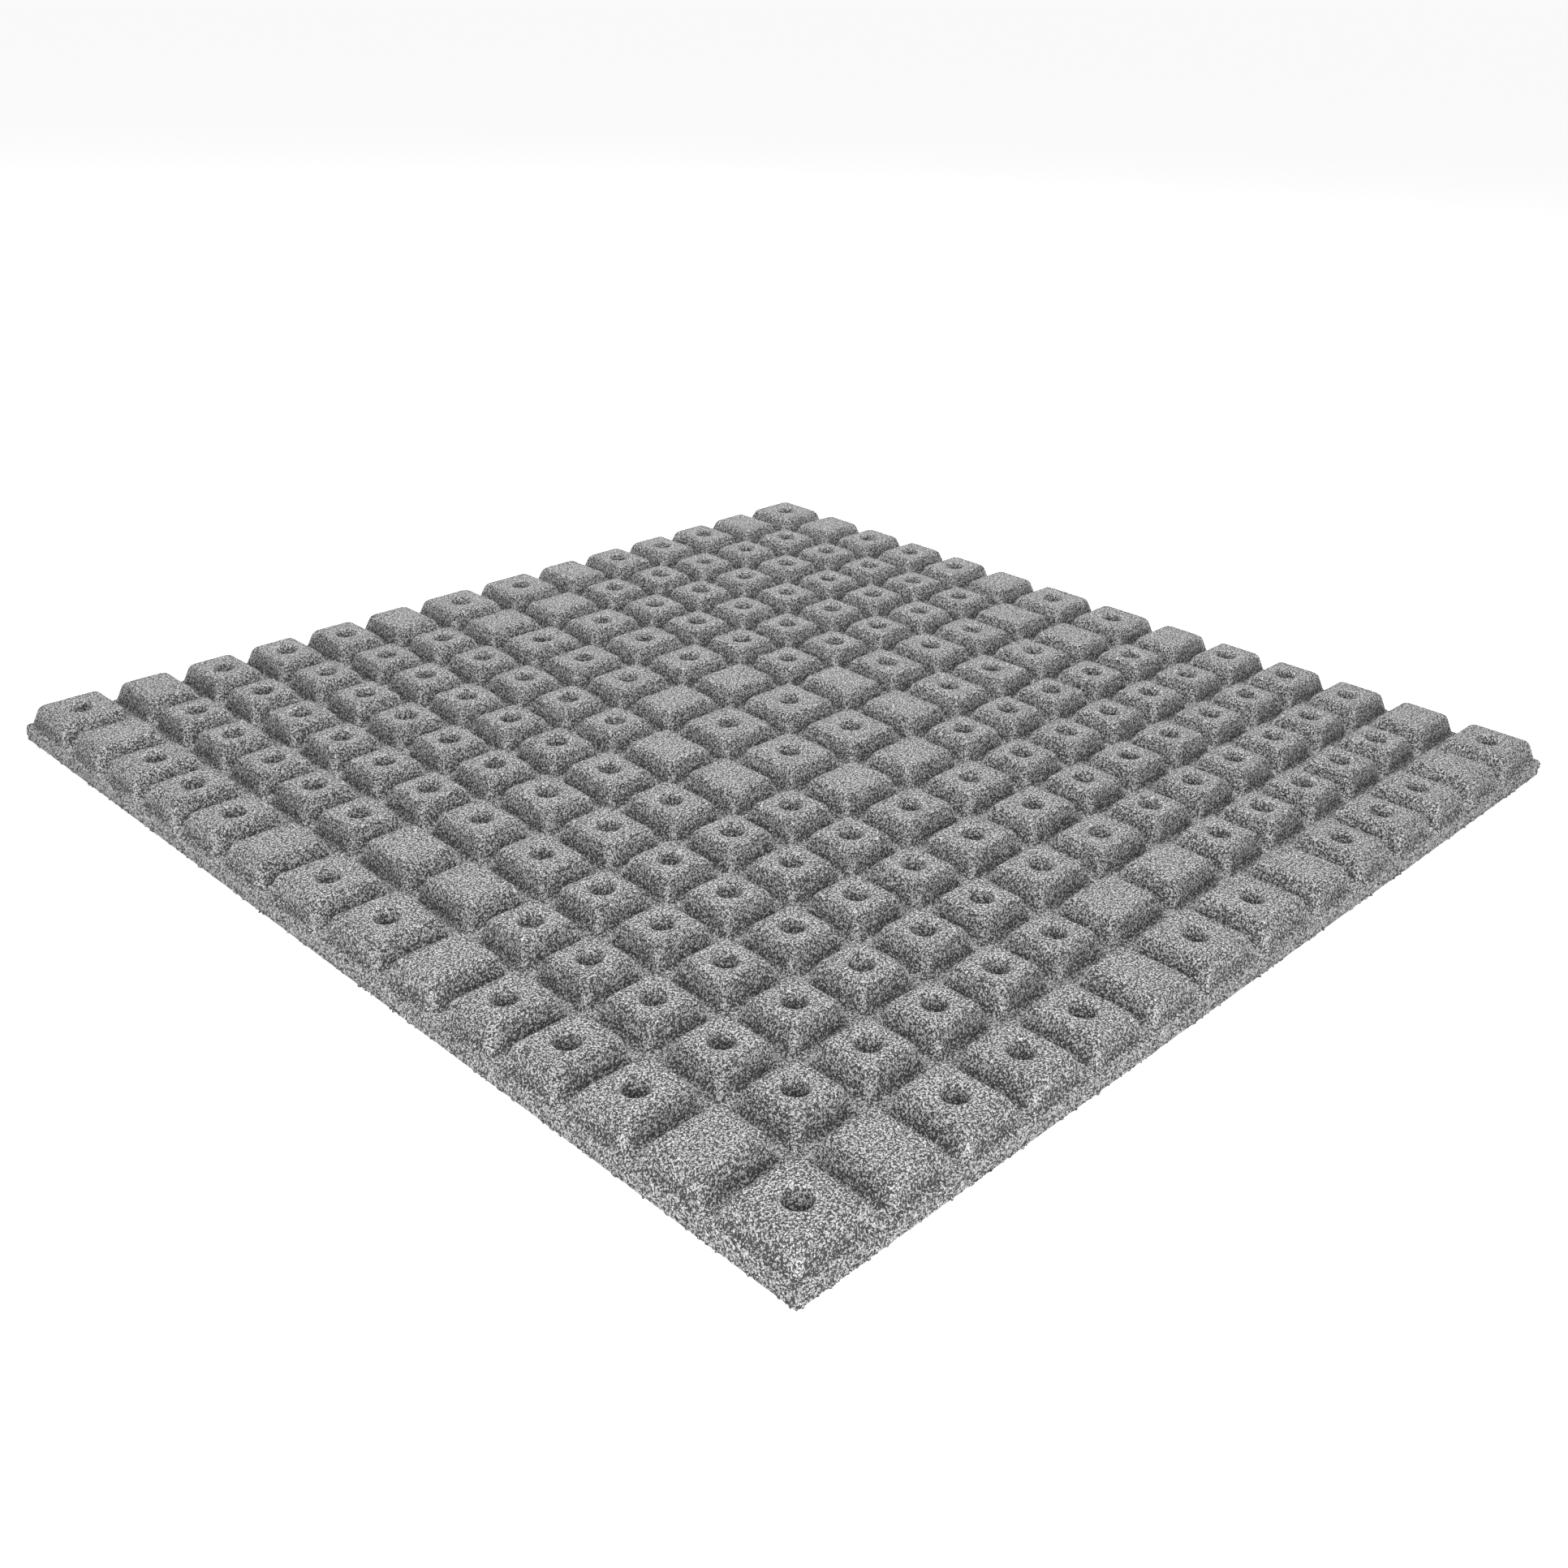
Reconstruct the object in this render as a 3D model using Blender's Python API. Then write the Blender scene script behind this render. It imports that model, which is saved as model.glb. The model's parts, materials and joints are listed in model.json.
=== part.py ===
"""Rubber safety tile: one moulded square of bonded rubber granulate.

The tile lies on its walking face, which is flat, with its feet pointing up.
A thin slab carries square feet with sloping sides, and a blind round hole
goes down into most of the feet. All sizes are in metres and +Z is up. The
origin is the middle of the walking face.
"""
import math

import bmesh
import bpy
from mathutils import Matrix

# Overall size
TILE = 1.000
SLAB = 0.0155
FOOT = 0.0195
TOTAL = SLAB + FOOT

# Layout: the mould is a square of equal modules, each with its own rows of feet.
# The cells along a module's edge are a little wider than those inside it.
MODULES = 2
FEET = 7
EDGE_CELL = 0.080
INNER_CELL = (TILE / MODULES - 2 * EDGE_CELL) / (FEET - 2)

# Foot section, from its base outwards in: half a groove, a steep side, a blunt top edge
HALF_GROOVE = 0.0055
SIDE_RUN = 0.006
TOP_EDGE = 0.0025

# Blind hole in the middle of a foot, tapered so that the mould's pin draws out
HOLE_MOUTH_RADIUS = 0.009
HOLE_FLOOR_RADIUS = 0.007
HOLE_DEPTH = 0.014
HOLE_SIDES = 8
CUTTER_RISE = 0.003

# Finish of the grey granulate
RUBBER_COLOUR = (0.30, 0.30, 0.30, 1.0)
RUBBER_ROUGHNESS = 0.85


def clear_scene():
    for item in list(bpy.data.objects):
        bpy.data.objects.remove(item, do_unlink=True)


def cell_edges():
    """Return the lines between the cells along one side of the tile."""
    module = [EDGE_CELL] + [INNER_CELL] * (FEET - 2) + [EDGE_CELL]
    edges = [-TILE / 2]
    for width in module * MODULES:
        edges.append(edges[-1] + width)
    return edges


def is_plain(column, row):
    """Tell whether a foot has no hole: the two beside each corner foot of a module."""
    outer = (0, FEET - 1)
    beside = (1, FEET - 2)
    a = column % FEET
    b = row % FEET
    return (a in outer and b in beside) or (a in beside and b in outer)


def hole_centres():
    """Return the middle of every foot that has a hole."""
    edges = cell_edges()
    middles = [(low + high) / 2 for low, high in zip(edges, edges[1:])]
    centres = []
    for column, x in enumerate(middles):
        for row, y in enumerate(middles):
            if not is_plain(column, row):
                centres.append((x, y))
    return centres


def ledge_lines():
    """Return the two rims of the slab and both sides of every foot's base."""
    edges = cell_edges()
    lines = [edges[0]]
    for low, high in zip(edges, edges[1:]):
        lines.append(low + HALF_GROOVE)
        lines.append(high - HALF_GROOVE)
    lines.append(edges[-1])
    return lines


def add_ledge(bm):
    """Lay the slab's upper face as a net, and return the faces that feet stand on."""
    lines = ledge_lines()
    net = [[bm.verts.new((x, y, SLAB)) for y in lines] for x in lines]
    bases = []
    for i in range(len(lines) - 1):
        for j in range(len(lines) - 1):
            corners = (net[i][j], net[i + 1][j], net[i + 1][j + 1], net[i][j + 1])
            face = bm.faces.new(corners)
            if i % 2 == 1 and j % 2 == 1:
                bases.append(face)
    bm.normal_update()
    return bases


def raise_feet(bm, bases):
    """Draw each base up into a foot: first its sloping sides, then its blunt top edge."""
    bmesh.ops.inset_individual(
        bm, faces=bases, thickness=SIDE_RUN, depth=FOOT - TOP_EDGE)
    bmesh.ops.inset_individual(
        bm, faces=bases, thickness=TOP_EDGE, depth=TOP_EDGE)


def close_slab(bm):
    """Drop the slab's rim to the walking face and close that face."""
    rim = [edge for edge in bm.edges if edge.is_boundary]
    skirt = bmesh.ops.extrude_edge_only(bm, edges=rim)
    for item in skirt["geom"]:
        if isinstance(item, bmesh.types.BMVert):
            item.co.z = 0.0
    hem = [edge for edge in bm.edges if edge.is_boundary]
    bmesh.ops.edgeloop_fill(bm, edges=hem)
    bmesh.ops.recalc_face_normals(bm, faces=bm.faces[:])


def rubber():
    """Make the dull grey rubber of the granulate."""
    material = bpy.data.materials.new("grey_rubber")
    material.use_nodes = True
    shader = material.node_tree.nodes["Principled BSDF"]
    shader.inputs["Base Color"].default_value = RUBBER_COLOUR
    shader.inputs["Roughness"].default_value = RUBBER_ROUGHNESS
    shader.inputs["Metallic"].default_value = 0.0
    material.diffuse_color = RUBBER_COLOUR
    return material


def add_object(name, bm):
    mesh = bpy.data.meshes.new(name)
    bm.to_mesh(mesh)
    bm.free()
    item = bpy.data.objects.new(name, mesh)
    bpy.context.scene.collection.objects.link(item)
    return item


def make_hole_cutter():
    """Make all the tapered plugs that cut the holes, as one hidden object."""
    taper = (HOLE_MOUTH_RADIUS - HOLE_FLOOR_RADIUS) / HOLE_DEPTH
    length = HOLE_DEPTH + CUTTER_RISE
    middle = TOTAL - HOLE_DEPTH + length / 2
    flats_square = Matrix.Rotation(math.pi / HOLE_SIDES, 4, "Z")
    bm = bmesh.new()
    for x, y in hole_centres():
        bmesh.ops.create_cone(
            bm,
            cap_ends=True,
            segments=HOLE_SIDES,
            radius1=HOLE_FLOOR_RADIUS,
            radius2=HOLE_MOUTH_RADIUS + taper * CUTTER_RISE,
            depth=length,
            matrix=Matrix.Translation((x, y, middle)) @ flats_square,
        )
    cutter = add_object("hole_cutter", bm)
    cutter.hide_render = True
    cutter.display_type = "WIRE"
    return cutter


def make_tile():
    """Mould the tile: slab, feet and holes in one solid."""
    bm = bmesh.new()
    bases = add_ledge(bm)
    raise_feet(bm, bases)
    close_slab(bm)
    tile = add_object("safety_tile", bm)
    tile.data.materials.append(rubber())
    holes = tile.modifiers.new("holes", "BOOLEAN")
    holes.operation = "DIFFERENCE"
    holes.solver = "EXACT"
    holes.object = make_hole_cutter()
    return tile


clear_scene()
make_tile()
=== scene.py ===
# %% [markdown]
# Rubber safety tile.
#
# The tile is one square metre of rubber granulate, wetted with binder and pressed in a hot mould. It lies
# here on the face that people will walk on, with its feet up. The frame gives the plain solid. This file
# gives it the grain, the rounded edges and the ragged rim that the press leaves.

# %% Load the frame
import json
import math
import random

import bmesh
import bpy
from mathutils import Matrix, Vector

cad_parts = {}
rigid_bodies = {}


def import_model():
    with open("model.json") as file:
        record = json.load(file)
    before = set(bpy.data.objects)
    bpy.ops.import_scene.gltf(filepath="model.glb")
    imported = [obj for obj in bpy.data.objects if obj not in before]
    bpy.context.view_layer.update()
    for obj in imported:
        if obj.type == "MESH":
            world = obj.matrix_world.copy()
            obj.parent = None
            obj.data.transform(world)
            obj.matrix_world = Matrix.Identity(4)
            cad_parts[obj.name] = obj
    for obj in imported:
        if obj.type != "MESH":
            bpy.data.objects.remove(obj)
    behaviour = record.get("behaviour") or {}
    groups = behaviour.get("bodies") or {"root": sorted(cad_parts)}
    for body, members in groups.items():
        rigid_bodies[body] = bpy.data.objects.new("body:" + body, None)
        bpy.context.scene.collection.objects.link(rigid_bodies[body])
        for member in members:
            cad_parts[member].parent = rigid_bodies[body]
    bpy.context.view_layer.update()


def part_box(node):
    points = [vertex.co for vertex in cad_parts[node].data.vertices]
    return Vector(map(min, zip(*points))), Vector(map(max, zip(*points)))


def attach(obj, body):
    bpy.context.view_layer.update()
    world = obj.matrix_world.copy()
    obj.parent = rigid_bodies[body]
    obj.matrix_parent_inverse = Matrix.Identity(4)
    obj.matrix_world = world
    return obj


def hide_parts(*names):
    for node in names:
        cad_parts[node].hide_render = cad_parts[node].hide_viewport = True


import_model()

NODE = "safety_tile"
BODY = "root"
LOW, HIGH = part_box(NODE)
print("frame", [round(v, 4) for v in LOW], [round(v, 4) for v in HIGH])

# %% [markdown]
# The mould's layout comes first, because every later step reads it. A tile is two modules by two, and each
# module has seven feet by seven. The feet along a module's edge stand on wider cells. Two of them beside
# each corner foot are plain, and all the others have a blind hole.

# %% Layout of the mould
TILE = HIGH[0] - LOW[0]
TOTAL = HIGH[2] - LOW[2]
SLAB = 0.0155
FOOT = TOTAL - SLAB
MODULES = 2
FEET = 7
EDGE_CELL = 0.080
MODULE = TILE / MODULES
INNER_CELL = (MODULE - 2 * EDGE_CELL) / (FEET - 2)
WIDTHS = [EDGE_CELL] + [INNER_CELL] * (FEET - 2) + [EDGE_CELL]
STARTS = [sum(WIDTHS[:k]) for k in range(FEET)]
OUTER = (0, FEET - 1)
BESIDE = (1, FEET - 2)


def is_plain(column, row):
    """A foot without a hole: one of the two beside a module's corner foot."""
    return (column in OUTER and row in BESIDE) or (column in BESIDE and row in OUTER)


print("cells", [round(1000 * w) for w in WIDTHS], "mm, tile", round(TILE, 3), "by", round(TOTAL, 3), "m")

# %% [markdown]
# A foot is a stack of rings. Each ring is a rounded rectangle, a little smaller and higher than the last,
# and the skin between two rings is a row of quads. The section below gives the rings: half a groove, a
# hollow fillet, a side that leans in, and a short rounded shoulder. A lathe can't make it, because a foot is
# square, but the idea is the same: one section, drawn once, carried round.

# %% Section of a foot
HALF_GROOVE = 0.0050
LEAN = 0.34
FILLET_RUN = 0.0024
FILLET_RISE = 0.0032
SHOULDER_RUN = 0.0030
SHOULDER_RISE = 0.0044
SHOULDER_END = math.radians(77)
BASE_CORNER = 0.005
TOP_CORNER = 0.0045
PER_SIDE = 20


def foot_section():
    """Points (inset from the cell's edge, height above the slab, plan corner radius)."""
    points = [(0.0, 0.0)]
    for k in range(4):
        turn = math.radians(30 * k)
        height = FILLET_RISE * (1 - math.cos(turn))
        points.append((HALF_GROOVE - FILLET_RUN * (1 - math.sin(turn)), height))
    straight = FOOT - SHOULDER_RISE
    for k in (1, 2, 3):
        points.append((HALF_GROOVE, FILLET_RISE + (straight - FILLET_RISE) * k / 4))
    for k in range(7):
        turn = SHOULDER_END * k / 6
        height = straight + SHOULDER_RISE * math.sin(turn)
        points.append((HALF_GROOVE + SHOULDER_RUN * (1 - math.cos(turn)), height))
    section = []
    for inset, height in points:
        inset += LEAN * height
        grown = min(inset / HALF_GROOVE, 1.0)
        corner = grown * (BASE_CORNER + (TOP_CORNER - BASE_CORNER) * height / FOOT)
        section.append((inset, height, corner))
    return section


SECTION = foot_section()
print("foot section", [(round(1000 * a, 1), round(1000 * b, 1)) for a, b, c in SECTION])

# %% [markdown]
# Now one cell of each kind as a mesh: its foot above and its patch of the walking face below. The number of
# points along a cell's side is the same for every kind, so neighbours meet point to point and can be welded.
#
# Each point also carries how loose its grains are. It is about 0 where the mould pressed them flat, as on the
# tops, and a little over 1 where they stand open: at the bottom of each side and deep in the holes. There it
# also darkens the colour, which is painted shade. Higher up a side it falls. On a foot's four upright corners
# it falls further, below 0, which paints a pale highlight down each corner. The relief and the colour both
# read it later.

# %% One cell as a mesh
HOLE_WALL = 0.0093
HOLE_FLOOR = 0.0060
HOLE_DEPTH = 0.014
HOLE_LIP = 0.0040
TOP_RINGS = 4
LIP_RINGS = 4
WALL_RINGS = 4
# The bottom of a side and the pit of a hole are made loosest, which also paints shade there; the ridge
# numbers below paint a pale highlight down each foot's upright corners.
LOOSE_LEDGE, LOOSE_AND_SHADE_BASE, LOOSE_SIDE, LOOSE_EDGE = 0.15, 1.3, 0.25, 0.35
LOOSE_TOP, LOOSE_LIP, LOOSE_AND_SHADE_PIT, LOOSE_FACE = 0.1, 0.15, 1.2, 0.1
BASE_FADED = 0.5
EDGE_BEGINS = 0.6
RIDGE_WIDTH = 0.010
RIDGE_PAINTED_LIGHT = 1.5
RIDGE_FADES, RIDGE_GONE = 0.5, 0.9
PAINTED_LIGHT_LIMIT = -0.3


def rounded_ring(half, inset, corner, height):
    """Points of a rounded rectangle, PER_SIDE for each side, anticlockwise from the lower left corner."""
    a, b = half[0] - inset, half[1] - inset
    knuckles = [(-a, -b), (a, -b), (a, b), (-a, b)]
    ring = []
    for (x0, y0), (x1, y1) in zip(knuckles, knuckles[1:] + knuckles[:1]):
        for k in range(PER_SIDE):
            x = x0 + (x1 - x0) * k / PER_SIDE
            y = y0 + (y1 - y0) * k / PER_SIDE
            over_x = abs(x) - (a - corner)
            over_y = abs(y) - (b - corner)
            if over_x > 0 and over_y > 0:
                shrink = corner / math.hypot(over_x, over_y)
                x = math.copysign(a - corner + over_x * shrink, x)
                y = math.copysign(b - corner + over_y * shrink, y)
            ring.append(Vector((x, y, height)))
    return ring


def ring_looseness_and_paint(half, inset, points, height):
    """How open the grains stand at each point of a foot's ring, with painted shade low on the side and a
    painted highlight on the upright corners. The climb is 0 to 1 up the side.
    """
    filled = min(height / FILLET_RISE, 1.0)
    climbed = max(height - FILLET_RISE, 0.0) / (FOOT - FILLET_RISE)
    side = LOOSE_AND_SHADE_BASE + (LOOSE_SIDE - LOOSE_AND_SHADE_BASE) * min(climbed / BASE_FADED, 1.0)
    side += (LOOSE_EDGE - LOOSE_SIDE) * max((climbed - EDGE_BEGINS) / (1 - EDGE_BEGINS), 0.0)
    # Near the upright corners the looseness is pulled below 0: a painted highlight down each ridge.
    corner_light = RIDGE_PAINTED_LIGHT * min(max((RIDGE_GONE - climbed) / (RIDGE_GONE - RIDGE_FADES), 0.0), 1.0)
    ring = LOOSE_LEDGE + (side - LOOSE_LEDGE) * filled
    loose = []
    for p in points:
        along = max(half[0] - inset - abs(p.x), half[1] - inset - abs(p.y))
        ridge = max(1 - along / RIDGE_WIDTH, 0.0)
        loose.append(max(ring * (1 - corner_light * ridge * filled), PAINTED_LIGHT_LIMIT))
    return loose


class Skin:
    """Points, faces and looseness of a mesh while it is being laid."""

    def __init__(self):
        self.points, self.faces, self.loose = [], [], []

    def ring(self, points, loose):
        first = len(self.points)
        self.points += points
        self.loose += loose if isinstance(loose, list) else [loose] * len(points)
        return list(range(first, first + len(points)))

    def band(self, outer, inner):
        for k in range(len(outer)):
            n = (k + 1) % len(outer)
            self.faces.append((outer[k], outer[n], inner[n], inner[k]))

    def halve(self, outer, inner):
        """Join a ring to one with half as many points."""
        for k in range(len(inner)):
            a, b, c = outer[2 * k], outer[2 * k + 1], outer[(2 * k + 2) % len(outer)]
            i, j = inner[k], inner[(k + 1) % len(inner)]
            self.faces += [(a, b, i), (b, c, j), (b, j, i)]

    def cap(self, ring, height, loose):
        middle = self.ring([Vector((0, 0, height))], loose)[0]
        for k in range(len(ring)):
            self.faces.append((ring[k], ring[(k + 1) % len(ring)], middle))

    def disc(self, ring, directions, radius, height, loose):
        """Close a ring with two smaller ones and a middle point."""
        for k, size in ((2, radius), (4, radius / 2)):
            smaller = self.ring([d * size + Vector((0, 0, height)) for d in directions[::k]], loose)
            self.halve(ring, smaller)
            ring = smaller
        self.cap(ring, height, loose)


def lay_top(skin, shoulder, rim, radius):
    """Carry the shoulder in over the slightly domed top, to a circle."""
    directions = [Vector((p.x, p.y, 0)).normalized() for p in shoulder]
    for k in range(1, TOP_RINGS + 1):
        share = k / TOP_RINGS
        rise = (TOTAL - shoulder[0].z) * (1 - (1 - share) ** 2)
        points = []
        for p, d in zip(shoulder, directions):
            flat = Vector((p.x, p.y, 0)).lerp(d * radius, share)
            points.append(flat + Vector((0, 0, shoulder[0].z + rise)))
        ring = skin.ring(points, LOOSE_TOP + (LOOSE_EDGE - LOOSE_TOP) * (1 - share) ** 2)
        skin.band(rim, ring)
        rim = ring
    return directions, rim


def lay_hole(skin, directions, rim):
    """From the circle over the rounded lip, down the tapered wall, to a closed floor."""
    around = directions[::2]
    for k in range(1, LIP_RINGS + 1):
        turn = math.pi / 2 * k / LIP_RINGS
        radius = HOLE_WALL + HOLE_LIP * (1 - math.sin(turn))
        height = TOTAL - HOLE_LIP * (1 - math.cos(turn))
        loose = LOOSE_TOP + (LOOSE_LIP - LOOSE_TOP) * k / LIP_RINGS
        ring = skin.ring([d * radius + Vector((0, 0, height)) for d in around], loose)
        if k == 1:
            skin.halve(rim, ring)
        else:
            skin.band(rim, ring)
        rim = ring
    for k in range(1, WALL_RINGS + 1):
        share = k / WALL_RINGS
        radius = HOLE_WALL + (HOLE_FLOOR - HOLE_WALL) * share
        height = TOTAL - HOLE_LIP + (HOLE_LIP - HOLE_DEPTH) * share
        # Looser and darker towards the floor: painted shade deep in the hole.
        loose = LOOSE_LIP + (LOOSE_AND_SHADE_PIT - LOOSE_LIP) * math.sqrt(share)
        ring = skin.ring([d * radius + Vector((0, 0, height)) for d in around], loose)
        skin.band(rim, ring)
        rim = ring
    skin.disc(rim, around, HOLE_FLOOR / 2, TOTAL - HOLE_DEPTH, LOOSE_AND_SHADE_PIT)


def cell_mesh(name, width, depth, holed):
    """One cell, its middle at x = y = 0: the foot, its half grooves and its patch of the walking face."""
    half = (width / 2, depth / 2)
    skin = Skin()
    previous = None
    for inset, height, corner in SECTION:
        points = rounded_ring(half, inset, corner, SLAB + height)
        ring = skin.ring(points, ring_looseness_and_paint(half, inset, points, height))
        if previous:
            skin.band(previous, ring)
        previous = ring
    directions, previous = lay_top(skin, points, previous, HOLE_WALL + HOLE_LIP)
    if holed:
        lay_hole(skin, directions, previous)
    else:
        skin.disc(previous, directions, HOLE_WALL, TOTAL, LOOSE_TOP)
    upper = len(skin.faces)
    border = rounded_ring(half, 0.0, 0.0, 0.0)
    around = [p.normalized() for p in border]
    skin.disc(skin.ring(border, LOOSE_FACE), around, INNER_CELL / 4, 0.0, LOOSE_FACE)
    skin.faces[upper:] = [face[::-1] for face in skin.faces[upper:]]
    mesh = bpy.data.meshes.new(name)
    mesh.from_pydata(skin.points, [], skin.faces)
    mesh.attributes.new("loose", "FLOAT", "POINT").data.foreach_set("value", skin.loose)
    return bpy.data.objects.new(name, mesh)


INNER_KIND, EDGE_KIND, PLAIN_KIND, CORNER_KIND = range(4)
cells = bpy.data.collections.new("cells")
cells.objects.link(cell_mesh("cell_0_inner", INNER_CELL, INNER_CELL, True))
cells.objects.link(cell_mesh("cell_1_edge", EDGE_CELL, INNER_CELL, True))
cells.objects.link(cell_mesh("cell_2_plain", EDGE_CELL, INNER_CELL, False))
cells.objects.link(cell_mesh("cell_3_corner", EDGE_CELL, EDGE_CELL, True))
for cell in cells.objects:
    print(cell.name, len(cell.data.vertices), "points,", len(cell.data.polygons), "faces")

# %% [markdown]
# Node trees are easier to read as sums than as a list of links. A Wire is a socket that knows arithmetic:
# adding two of them adds a Math node, or a Vector Math node where either is a vector. A Bench is the tree
# they lie on, and its main method adds any other node. The trees for shapes and for finishes both use it.

# %% Wires and benches
VECTORS = ("VECTOR", "RGBA")


class Wire:
    """An output socket with Python's operators."""

    def __init__(self, bench, socket):
        self.bench, self.socket = bench, socket

    def maths(self, operation, *others, swap=False):
        wires = [self, *others]
        if swap:
            wires.reverse()
        sockets = [w.socket.type for w in wires if isinstance(w, Wire)]
        vector = any(isinstance(w, tuple) for w in wires) or any(kind in VECTORS for kind in sockets)
        if vector:
            wires = [w if isinstance(w, (Wire, tuple)) else (w, w, w) for w in wires]
        kind = "ShaderNodeVectorMath" if vector else "ShaderNodeMath"
        return self.bench.node(kind, {"operation": operation}, dict(enumerate(wires)))

    def __add__(self, other):
        return self.maths("ADD", other)

    def __sub__(self, other):
        return self.maths("SUBTRACT", other)

    def __rsub__(self, other):
        return self.maths("SUBTRACT", other, swap=True)

    def __mul__(self, other):
        return self.maths("MULTIPLY", other)

    def __abs__(self):
        return self.maths("ABSOLUTE")

    def __gt__(self, other):
        return self.maths("GREATER_THAN", other)

    def least(self, other):
        return self.maths("MINIMUM", other)

    def most(self, other):
        return self.maths("MAXIMUM", other)

    __radd__ = __add__

    def ease(self, low, high, start=0.0, end=1.0):
        """Go smoothly from start to end as this wire goes from low to high."""
        sockets = {"Value": self, "From Min": low, "From Max": high, "To Min": start, "To Max": end}
        return self.bench.node("ShaderNodeMapRange", {"interpolation_type": "SMOOTHSTEP"}, sockets)


class Bench:
    """A node tree that is being built."""

    def __init__(self, tree):
        self.tree = tree

    def node(self, kind, settings=None, sockets=None, out=0):
        """Add a node, set it, then feed its sockets with values or wires. Gives the wire of one output."""
        made = self.tree.nodes.new(kind)
        for name, value in (settings or {}).items():
            setattr(made, name, value)
        for name, value in (sockets or {}).items():
            if isinstance(value, Wire):
                self.tree.links.new(value.socket, made.inputs[name])
            else:
                made.inputs[name].default_value = value
        return Wire(self, made.outputs[out]) if made.outputs else made

    def split(self, wire, out):
        """One number out of a colour or a vector."""
        return self.node("ShaderNodeSeparateXYZ", None, {0: wire}, out)

    def join(self, x, y, z):
        return self.node("ShaderNodeCombineXYZ", None, {0: x, 1: y, 2: z})

    def attribute(self, name, kind="FLOAT"):
        return self.node("GeometryNodeInputNamedAttribute", {"data_type": kind}, {"Name": name})


# %% [markdown]
# Geometry Nodes lay the cells. A cloud of points, one for each foot, says which kind of cell goes where and
# how it is turned. The tree puts an instance on each point, makes them real, welds them, pulls the rim down
# to close the slab, and then sinks the skin a little, grain by grain. The pattern depends only on the place
# in space, so it never repeats from foot to foot and it agrees where two modules meet. It is deepest where
# the grains are loose. The slab's wall is drawn a little behind the tile's true size, which leaves room for
# the grains that cling to it, and its upper edge is drawn down a little, which blunts it.

# %% Geometry tree for a module
WALL_ROWS = 5
WELD = 0.00005
SEAM = 0.0001
RIM_BACK = 0.0022
RIM_DROP = 0.0012
SHARP = 1.2
GRAIN = 1.6
CLUMP = 9.0
GRAIN_DEPTH, CLUMP_DEPTH = 0.9, 0.6
LOOSE_DEPTH, PRESSED_DEPTH = 0.85, 0.15


def open_tree(name, sockets):
    """A geometry tree with named inputs, their identifiers, its bench and its input wires."""
    tree = bpy.data.node_groups.new(name, "GeometryNodeTree")
    inputs = {}
    for label, kind in sockets:
        item = tree.interface.new_socket(label, in_out="INPUT", socket_type="NodeSocket" + kind)
        inputs[label] = item.identifier
    tree.interface.new_socket("Result", in_out="OUTPUT", socket_type="NodeSocketGeometry")
    bench = Bench(tree)
    given = tree.nodes.new("NodeGroupInput")
    return tree, inputs, bench, {label: Wire(bench, given.outputs[label]) for label in inputs}


def close_tree(bench, shape, finish):
    """Give the shape its finish and send it out."""
    shape = bench.node("GeometryNodeSetMaterial", None, {"Geometry": shape, "Material": finish})
    final = bench.tree.nodes.new("NodeGroupOutput")
    bench.tree.links.new(shape.socket, final.inputs[0])


def grain_relief(bench, loose):
    """How far the skin would sink at each point at full relief, in millimetres. GRAIN and CLUMP are too."""
    place = bench.node("GeometryNodeInputPosition") * 1000.0
    grain = bench.node(
        "ShaderNodeTexVoronoi", {"feature": "F1"}, {"Vector": place, "Scale": 1 / GRAIN}, "Color")
    clump = bench.node("ShaderNodeTexNoise", None, {"Vector": place, "Scale": 1 / CLUMP, "Detail": 3.0})
    sunk = bench.split(grain, 0) * GRAIN_DEPTH + clump.ease(0.42, 0.66) * CLUMP_DEPTH
    return sunk * (loose * LOOSE_DEPTH + PRESSED_DEPTH).most(0.0)


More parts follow.
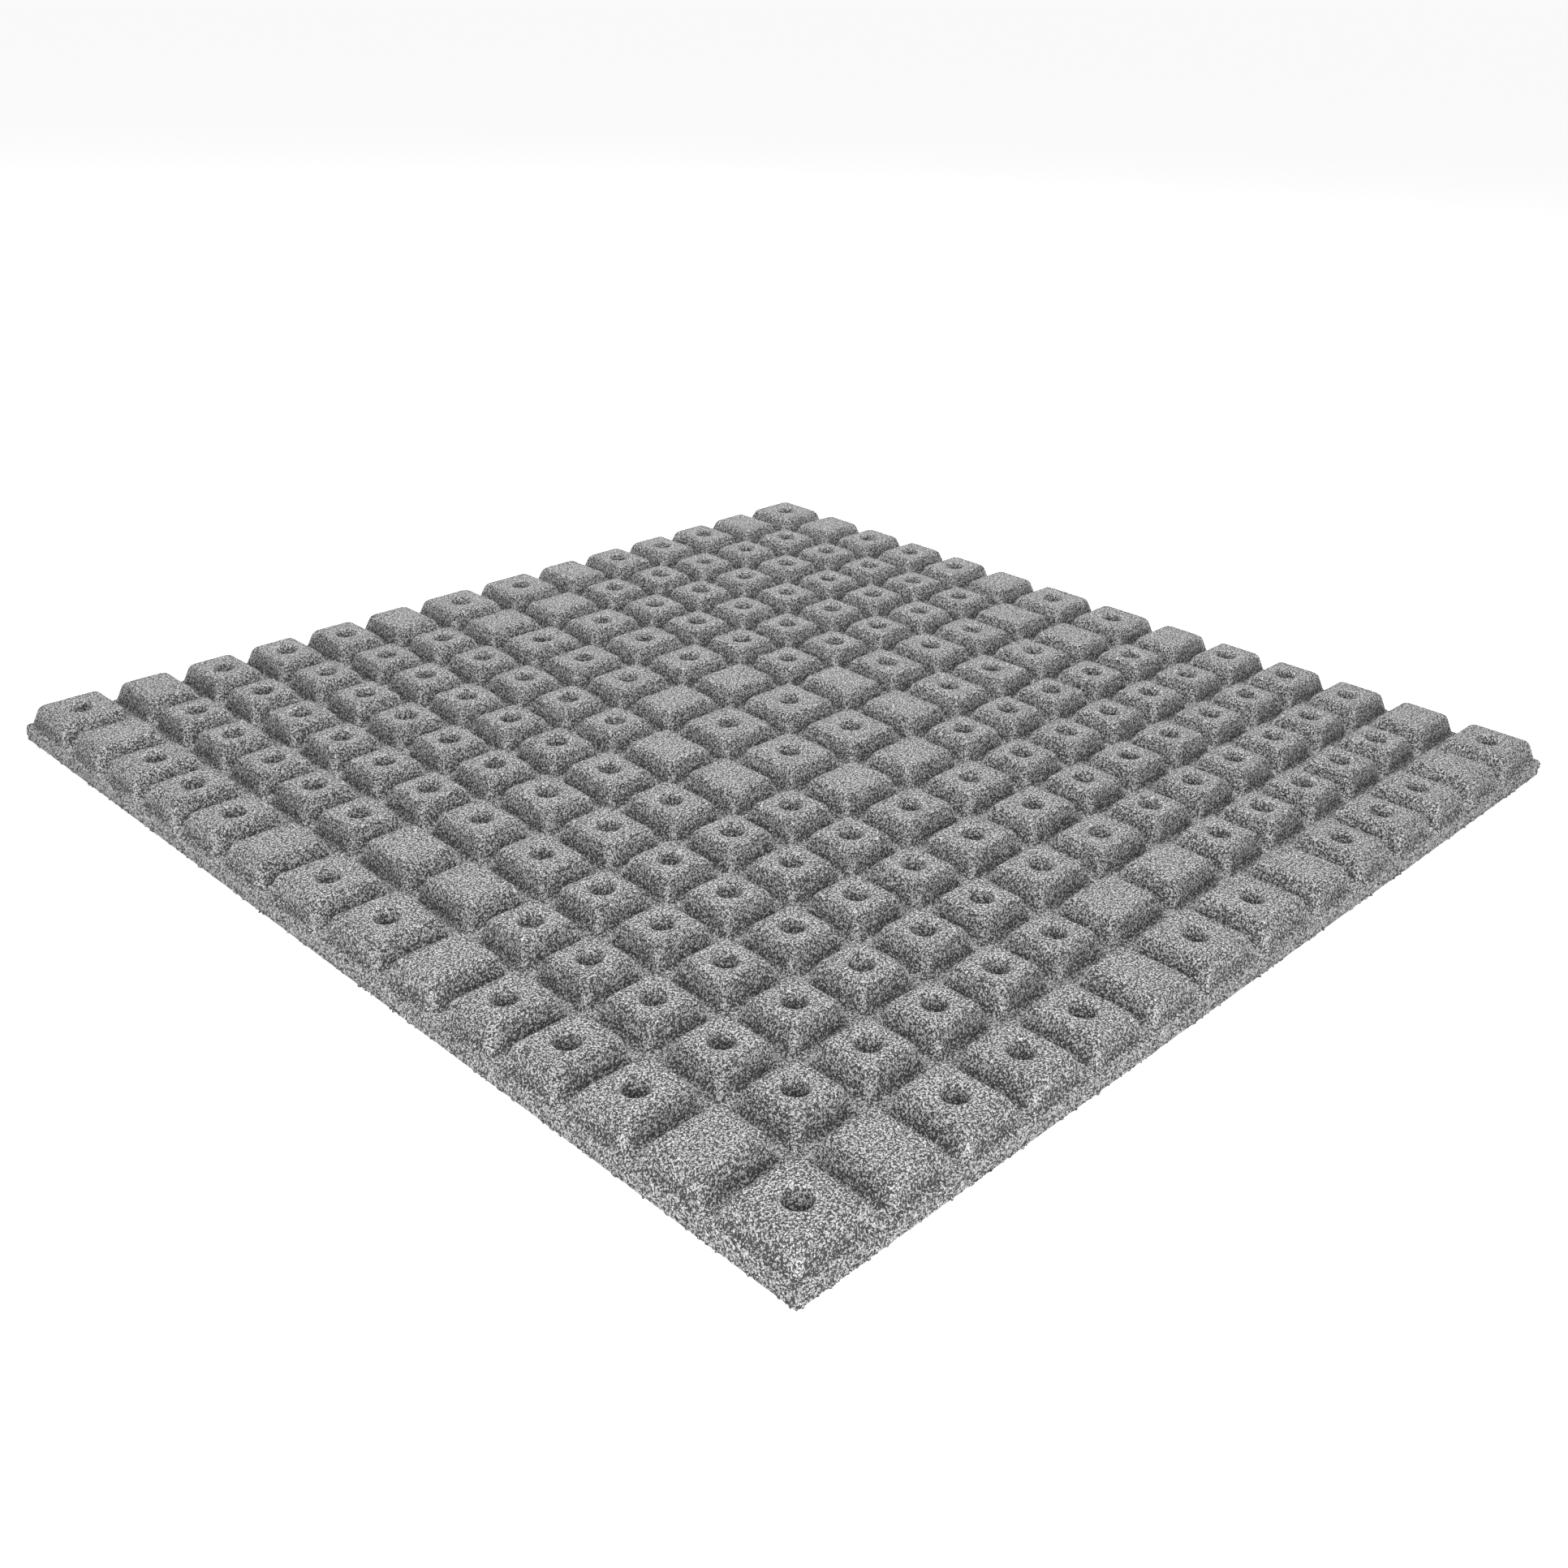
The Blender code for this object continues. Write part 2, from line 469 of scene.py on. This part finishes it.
def module_tree():
    """Points in, one closed module out."""
    tree, inputs, bench, take = open_tree("lay_module", (
        ("Points", "Geometry"), ("Cells", "Collection"), ("Slab height", "Float"), ("Relief", "Float"),
        ("Finish", "Material")))
    kinds = bench.node(
        "GeometryNodeCollectionInfo", {"transform_space": "ORIGINAL"},
        {"Collection": take["Cells"], "Separate Children": True, "Reset Children": True})
    turn = bench.join(0.0, 0.0, bench.attribute("turned", "BOOLEAN") * (math.pi / 2))
    laid = bench.node(
        "GeometryNodeInstanceOnPoints", None,
        {"Points": take["Points"], "Instance": kinds, "Pick Instance": True,
         "Instance Index": bench.attribute("kind", "INT"), "Rotation": turn})
    real = bench.node("GeometryNodeRealizeInstances", None, {"Geometry": laid})
    shape = bench.node("GeometryNodeMergeByDistance", None, {"Geometry": real, "Distance": WELD})
    place = bench.node("GeometryNodeInputPosition")
    x, y, z = (bench.split(place, k) for k in range(3))
    borders = bench.node("GeometryNodeInputMeshEdgeNeighbors")
    rim = bench.node("FunctionNodeCompare", {"data_type": "INT", "operation": "EQUAL"}, {2: borders, 3: 1})
    rim = bench.node("FunctionNodeBooleanMath", {"operation": "AND"}, {0: rim, 1: z > WELD})
    drop = bench.join(0.0, 0.0, take["Slab height"] * (-1.0 / WALL_ROWS))
    for row in range(WALL_ROWS):
        shape = bench.node(
            "GeometryNodeExtrudeMesh", {"mode": "EDGES"},
            {"Mesh": shape, "Selection": rim, "Offset": drop})
        rim = Wire(bench, shape.socket.node.outputs["Top"])
    shape = bench.node("GeometryNodeMergeByDistance", None, {"Geometry": shape, "Distance": WELD})
    edge = TILE / 2 - RIM_BACK
    inside = place.least((edge, edge, 1.0)).most((-edge, -edge, 0.0))
    crest = (abs(x).most(abs(y)) > TILE / 2 - SEAM) * (z > SLAB - SEAM)
    free = bench.join(abs(x) > SEAM, abs(y) > SEAM, 1.0)
    push = grain_relief(bench, bench.attribute("loose")) * take["Relief"] * -0.001
    sink = bench.node("GeometryNodeInputNormal") * push * free
    shape = bench.node(
        "GeometryNodeSetPosition", None,
        {"Geometry": shape, "Position": inside, "Offset": sink - bench.join(0.0, 0.0, crest * RIM_DROP)})
    shape = bench.node("GeometryNodeSetShadeSmooth", None, {"Geometry": shape, "Shade Smooth": True})
    shape = bench.node(
        "GeometryNodeSetShadeSmooth", {"domain": "EDGE"},
        {"Geometry": shape, "Selection": bench.node("GeometryNodeInputMeshEdgeAngle") > SHARP,
         "Shade Smooth": False})
    close_tree(bench, shape, take["Finish"])
    return tree, inputs


MODULE_TREE, MODULE_INPUTS = module_tree()
print("module tree:", len(MODULE_TREE.nodes), "nodes")

# %% [markdown]
# The press squeezes grains out along the tile's rim, where they cling to the wall and break its straight
# line. A second tree scatters them. Each is one of a few lumps with twenty faces, turned and stretched at
# random, and none may reach past the tile's true size.

# %% Geometry tree for the loose grains
LUMPS = 4
LUMP_SPREAD = (0.65, 1.2)
LUMP_LOOSE = 0.4
LUMP_FLATNESS = 0.7
WHOLE_TURN = (6.28, 6.28, 6.28)


def lump(index):
    """A crumb of rubber with twenty faces, about 1 m in radius, to be scaled down."""
    shape = bmesh.new()
    bmesh.ops.create_icosphere(shape, subdivisions=1, radius=1.0)
    dice = random.Random(index)
    for point in shape.verts:
        point.co *= dice.uniform(*LUMP_SPREAD)
    mesh = bpy.data.meshes.new(f"lump_{index}")
    shape.to_mesh(mesh)
    shape.free()
    loose = [LUMP_LOOSE] * len(mesh.vertices)
    mesh.attributes.new("loose", "FLOAT", "POINT").data.foreach_set("value", loose)
    return bpy.data.objects.new(mesh.name, mesh)


def grain_tree():
    """Strips in, the grains that cling to them out."""
    tree, inputs, bench, take = open_tree("scatter_grains", (
        ("Strips", "Geometry"), ("Lumps", "Collection"), ("Density", "Float"), ("Seed", "Int"),
        ("Smallest", "Float"), ("Largest", "Float"), ("Finish", "Material")))
    points = bench.node(
        "GeometryNodeDistributePointsOnFaces", None,
        {"Mesh": take["Strips"], "Density": take["Density"], "Seed": take["Seed"]})
    lumps = bench.node(
        "GeometryNodeCollectionInfo", {"transform_space": "ORIGINAL"},
        {"Collection": take["Lumps"], "Separate Children": True, "Reset Children": True})
    pick = bench.node(
        "FunctionNodeRandomValue", {"data_type": "INT"}, {4: 0, 5: LUMPS - 1, "Seed": take["Seed"]}, 2)
    turn = bench.node("FunctionNodeRandomValue", {"data_type": "FLOAT_VECTOR"},
                      {0: (0.0, 0.0, 0.0), 1: WHOLE_TURN, "Seed": take["Seed"] + 1})
    low = bench.join(take["Smallest"], take["Smallest"], take["Smallest"])
    high = bench.join(take["Largest"], take["Largest"], take["Largest"] * LUMP_FLATNESS)
    size = bench.node("FunctionNodeRandomValue", {"data_type": "FLOAT_VECTOR"},
                      {0: low, 1: high, "Seed": take["Seed"] + 2})
    laid = bench.node(
        "GeometryNodeInstanceOnPoints", None,
        {"Points": points, "Instance": lumps, "Pick Instance": True, "Instance Index": pick,
         "Rotation": turn, "Scale": size})
    shape = bench.node("GeometryNodeRealizeInstances", None, {"Geometry": laid})
    half = TILE / 2
    inside = bench.node("GeometryNodeInputPosition").least((half, half, TOTAL)).most((-half, -half, 0.0))
    shape = bench.node("GeometryNodeSetPosition", None, {"Geometry": shape, "Position": inside})
    close_tree(bench, shape, take["Finish"])
    return tree, inputs


GRAIN_TREE, GRAIN_INPUTS = grain_tree()
lumps = bpy.data.collections.new("lumps")
for number in range(LUMPS):
    lumps.objects.link(lump(number))
print("grain tree:", len(GRAIN_TREE.nodes), "nodes,", LUMPS, "lumps")

# %% [markdown]
# The finish is grey rubber grain: grains of a millimetre and a half, and fines half that size between them.
# Where the mould pressed them they are a flat paving with short dark gaps, and where they are loose the gaps
# are wider and the grains stand proud. The dark of the gaps is partly the rubber's own and partly painted
# shade in the voids between grains, so the wider gaps low on the feet's sides and in the holes paint shade
# there too.
# Three textures make that: big cells for the grains, small cells for the fines, and a noise that opens and
# closes the gaps so that they come out as short broken strokes, not as a net. A few of the fines are dark
# pores. A few grains and fines are painted glints: bright specks that stand in for light caught by grain
# facets, mostly where the grains are loose. A slow mottle keeps large areas from being even.

# %% The grey granulate
FINES = 0.70
WOBBLE, WOBBLE_SCALE = 0.5, 0.8
BREAK_SCALE = 0.6
GAP_CLOSED, GAP_OPEN = 0.04, 0.62
MOTTLE_SCALE, MOTTLE = 0.14, 0.2
BASE_TONE, GRAIN_TONE, FINES_TONE, PAINTED_GLINT_TONE = 0.41, 0.12, 0.44, 0.8
GAP_DARK_AND_SHADE = 0.95
PALE, DARK = (0.85, 0.85, 0.85, 1.0), (0.018, 0.018, 0.018, 1.0)


def granulate():
    material = bpy.data.materials.new("grey_granulate")
    material.use_nodes = True
    material.node_tree.nodes.clear()
    bench = Bench(material.node_tree)
    place = bench.node("ShaderNodeTexCoord", None, None, "Object") * 1000.0
    # The looseness also carries painted shade low on the feet's sides and in the holes, and a painted
    # highlight on their upright corners.
    loose = bench.node("ShaderNodeAttribute", {"attribute_name": "loose"}, None, "Fac")
    wave = bench.node(
        "ShaderNodeTexNoise", None, {"Vector": place, "Scale": WOBBLE_SCALE, "Detail": 2.0}, "Color")
    bent = place + (wave - 0.5) * (2 * WOBBLE)
    grain_edge = bench.node(
        "ShaderNodeTexVoronoi", {"feature": "DISTANCE_TO_EDGE"}, {"Vector": bent, "Scale": 1 / GRAIN})
    grain_tone = bench.split(bench.node(
        "ShaderNodeTexVoronoi", {"feature": "F1"}, {"Vector": bent, "Scale": 1 / GRAIN}, "Color"), 0)
    fines_edge = bench.node(
        "ShaderNodeTexVoronoi", {"feature": "DISTANCE_TO_EDGE"}, {"Vector": bent, "Scale": 1 / FINES})
    fines_tone = bench.split(bench.node(
        "ShaderNodeTexVoronoi", {"feature": "F1"}, {"Vector": bent, "Scale": 1 / FINES}, "Color"), 1)
    broken = bench.node("ShaderNodeTexNoise", None, {"Vector": place, "Scale": BREAK_SCALE, "Detail": 2.0})
    open_width = broken.ease(0.40, 0.60, GAP_CLOSED, GAP_OPEN) * (loose * 0.6 + 0.78)
    gap = (grain_edge * GRAIN).ease(open_width * 0.5, open_width, 1.0, 0.0)
    fine_gap = (fines_edge * FINES).ease(open_width * 0.12, open_width * 0.32 + 0.04, 1.0, 0.0)
    # Painted glints: bright specks in the colour standing in for light caught by grain facets.
    painted_glint = fines_tone.ease(0.95, 0.98) * (0.25 + loose * 0.75).most(0.0)
    painted_glint = painted_glint.most(grain_tone.ease(0.96, 0.97) * (0.15 + loose * 0.85).most(0.0))
    pore = fines_tone.ease(0.10, 0.20, 1.0, 0.0) * (0.65 + loose * 0.2).most(0.0)
    mottle = bench.node("ShaderNodeTexNoise", None, {"Vector": place, "Scale": MOTTLE_SCALE, "Detail": 2.0})
    shade = BASE_TONE + grain_tone * GRAIN_TONE + fines_tone * FINES_TONE - loose * 0.05
    shade = shade + painted_glint * PAINTED_GLINT_TONE + (mottle - 0.5) * MOTTLE
    hollow = gap.most(fine_gap * (0.25 + loose * 0.2).most(0.0)).most(pore)
    # The gaps and pores go dark partly as the rubber's own voids and partly as painted shade between the
    # grains.
    bright = shade * (1 - hollow * GAP_DARK_AND_SHADE)
    colour = bench.node("ShaderNodeMix", {"data_type": "RGBA"}, {0: bright, 6: DARK, 7: PALE}, 2)
    relief = (grain_tone - 0.5) * (0.3 + loose * 0.5) + (fines_tone - 0.5) * (0.1 + loose * 0.3)
    relief = relief - hollow * (0.4 + loose * 0.3)
    bump = bench.node("ShaderNodeBump", None, {"Height": relief, "Distance": 0.001, "Strength": 1.0})
    rough = 0.66 + hollow * 0.25
    shader = bench.node(
        "ShaderNodeBsdfPrincipled", None, {"Base Color": colour, "Roughness": rough, "Normal": bump})
    bench.node("ShaderNodeOutputMaterial", None, {"Surface": shader})
    return material


GRANULATE = granulate()
print("finish:", GRANULATE.name, len(GRANULATE.node_tree.nodes), "nodes")

# %% [markdown]
# Four clouds of points, one for each module, go through the tree. The result is turned into a plain mesh
# with its place in its points, because an object that stands at the origin keeps its pattern when exported.

# %% Lay the four modules
RELIEF = 0.45
SIDES = (("left", LOW[0]), ("right", LOW[0] + MODULE))
ENDS = (("front", LOW[1]), ("back", LOW[1] + MODULE))


def foot_points(start_x, start_y):
    """The middle of each foot's cell, with the kind of cell and whether it is turned a quarter."""
    places, kinds, turned = [], [], []
    for column in range(FEET):
        for row in range(FEET):
            places.append((start_x + STARTS[column] + WIDTHS[column] / 2,
                           start_y + STARTS[row] + WIDTHS[row] / 2, 0.0))
            edges = (column in OUTER) + (row in OUTER)
            kind = (INNER_KIND, EDGE_KIND, CORNER_KIND)[edges]
            kinds.append(PLAIN_KIND if is_plain(column, row) else kind)
            turned.append(edges == 1 and row in OUTER)
    return places, kinds, turned


def through_tree(name, mesh, tree, settings):
    """Run a mesh through a geometry tree and keep the result as a plain mesh object."""
    source = bpy.data.objects.new(name + "_source", mesh)
    bpy.context.scene.collection.objects.link(source)
    modifier = source.modifiers.new("lay", "NODES")
    modifier.node_group = tree
    for identifier, value in settings.items():
        modifier[identifier] = value
    graph = bpy.context.evaluated_depsgraph_get()
    result = bpy.data.meshes.new_from_object(source.evaluated_get(graph), depsgraph=graph)
    result.name = name
    bpy.data.objects.remove(source)
    piece = bpy.data.objects.new(name, result)
    bpy.context.scene.collection.objects.link(piece)
    return piece


def own(piece):
    """Tell the frame whose body the piece rides on."""
    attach(piece, BODY)


modules = []
for end, start_y in ENDS:
    for side, start_x in SIDES:
        places, kinds, turned = foot_points(start_x, start_y)
        cloud = bpy.data.meshes.new("feet")
        cloud.from_pydata(places, [], [])
        cloud.attributes.new("kind", "INT", "POINT").data.foreach_set("value", kinds)
        cloud.attributes.new("turned", "BOOLEAN", "POINT").data.foreach_set("value", turned)
        settings = {MODULE_INPUTS["Cells"]: cells, MODULE_INPUTS["Slab height"]: SLAB,
                    MODULE_INPUTS["Relief"]: RELIEF, MODULE_INPUTS["Finish"]: GRANULATE}
        module = through_tree(f"module_{end}_{side}", cloud, MODULE_TREE, settings)
        own(module)
        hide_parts(NODE)
        modules.append(module)
        count = sum(len(p.vertices) - 2 for p in module.data.polygons)
        print(module.name, count, "triangles")

# %% [markdown]
# The grains on the rim are scattered over strips: the slab's wall, narrow bands along its lower and upper
# edge, and short strips at its corners. They hang thickest there, so those strips lie over the wall's, some
# of them several times. Each side is a piece.

# %% Scatter the grains on the rim
GRAINS_PER_SQUARE_METRE = 20000.0
GRAIN_SIZES = (0.0009, 0.0028)
CORNER_BAND, CORNER_LAYERS = 0.003, 8
STRIP_SUNK = 0.0003
BANDS = ((0.0, SLAB - RIM_DROP), (0.0, 0.0025), (0.0, 0.0025), (SLAB - 0.003, SLAB - 0.001))


def rim_strips(turn):
    """Upright strips along one side of the tile, and short ones at its two corners."""
    out = TILE / 2 - RIM_BACK - STRIP_SUNK
    points, faces = [], []
    strips = [(-out, out, low, high) for low, high in BANDS]
    strips += [(x, x + CORNER_BAND, 0.0, SLAB - RIM_DROP) for x in (-out, out - CORNER_BAND)] * CORNER_LAYERS
    for left, right, low, high in strips:
        first = len(points)
        for x, z in ((left, low), (right, low), (right, high), (left, high)):
            points.append(Matrix.Rotation(turn, 3, "Z") @ Vector((x, -out, z)))
        faces.append(tuple(range(first, first + 4)))
    mesh = bpy.data.meshes.new("strips")
    mesh.from_pydata(points, [], faces)
    return mesh


for number, side in enumerate(("front", "right", "back", "left")):
    settings = {GRAIN_INPUTS["Lumps"]: lumps, GRAIN_INPUTS["Density"]: GRAINS_PER_SQUARE_METRE,
                GRAIN_INPUTS["Seed"]: number, GRAIN_INPUTS["Smallest"]: GRAIN_SIZES[0],
                GRAIN_INPUTS["Largest"]: GRAIN_SIZES[1], GRAIN_INPUTS["Finish"]: GRANULATE}
    grains = through_tree(f"rim_grains_{side}", rim_strips(number * math.pi / 2), GRAIN_TREE, settings)
    own(grains)
    print(grains.name, len(grains.data.polygons), "triangles")

# %% [markdown]
# The floor is a pale sheet, wide enough to fill the picture to its upper corners. It glows a little, so that
# the tile casts no grey edge on it. It isn't part of the tile.

# %% Floor
FLOOR_HALF = 80.0
FLOOR_GLOW = 0.50


def pale_floor():
    mesh = bpy.data.meshes.new("floor")
    corners = [(-1, -1), (1, -1), (1, 1), (-1, 1)]
    mesh.from_pydata([(FLOOR_HALF * x, FLOOR_HALF * y, 0.0) for x, y in corners], [], [(0, 1, 2, 3)])
    material = bpy.data.materials.new("pale_floor")
    material.use_nodes = True
    shader = material.node_tree.nodes["Principled BSDF"]
    shader.inputs["Base Color"].default_value = (0.82, 0.82, 0.82, 1.0)
    shader.inputs["Roughness"].default_value = 0.9
    shader.inputs["Emission Color"].default_value = (1.0, 1.0, 1.0, 1.0)
    shader.inputs["Emission Strength"].default_value = FLOOR_GLOW
    mesh.materials.append(material)
    floor = bpy.data.objects.new("floor", mesh)
    bpy.context.scene.collection.objects.link(floor)


pale_floor()

# %% [markdown]
# Soft studio light: a white surround on all sides, a lamp on the camera's side for the near sides of the
# feet, and a wide lamp high up beyond the far corner for their tops.

# %% Light
SURROUND = 0.54
scene = bpy.context.scene
world = bpy.data.worlds.new("studio")
world.use_nodes = True
world.node_tree.nodes["Background"].inputs["Color"].default_value = (1.0, 1.0, 1.0, 1.0)
world.node_tree.nodes["Background"].inputs["Strength"].default_value = SURROUND
scene.world = world
scene.view_settings.view_transform = "Standard"


def soft_lamp(name, place, aim, size, watts):
    data = bpy.data.lights.new(name, "AREA")
    data.shape = "SQUARE"
    data.size = size
    data.energy = watts
    lamp = bpy.data.objects.new(name, data)
    lamp.location = place
    lamp.rotation_euler = (Vector(aim) - Vector(place)).to_track_quat("-Z", "Y").to_euler()
    scene.collection.objects.link(lamp)


soft_lamp("front", (-1.6, -1.75, 1.2), (-0.1, -0.1, 0.0), 1.1, 47.0)
soft_lamp("beyond", (0.9, 0.9, 2.4), (0.0, 0.0, 0.0), 1.6, 80.0)

# %% [markdown]
# The camera stands where the photograph was taken from. Its place was found from the grid of feet, whose
# real spacing is known: near the tile's corner, two thirds of a metre up, looking down at 27 degrees.

# %% Camera
CAMERA_PLACE = Vector((-1.0033, -0.9623, 0.6730))
CAMERA_AIM = Vector((-0.0424, -0.0362, 0.0))
CAMERA_ROLL = math.radians(1.81)
LENS_MM = 37.97

camera_data = bpy.data.cameras.new("camera")
camera_data.sensor_width = 36.0
camera_data.lens = LENS_MM
camera_data.clip_start = 0.01
camera_data.clip_end = 200.0
camera = bpy.data.objects.new("camera", camera_data)
level = (CAMERA_AIM - CAMERA_PLACE).to_track_quat("-Z", "Y").to_matrix().to_4x4()
camera.matrix_world = Matrix.Translation(CAMERA_PLACE) @ level @ Matrix.Rotation(CAMERA_ROLL, 4, "Z")
scene.collection.objects.link(camera)
scene.camera = camera
print("camera", round((CAMERA_AIM - CAMERA_PLACE).length, 3), "m from where it aims")
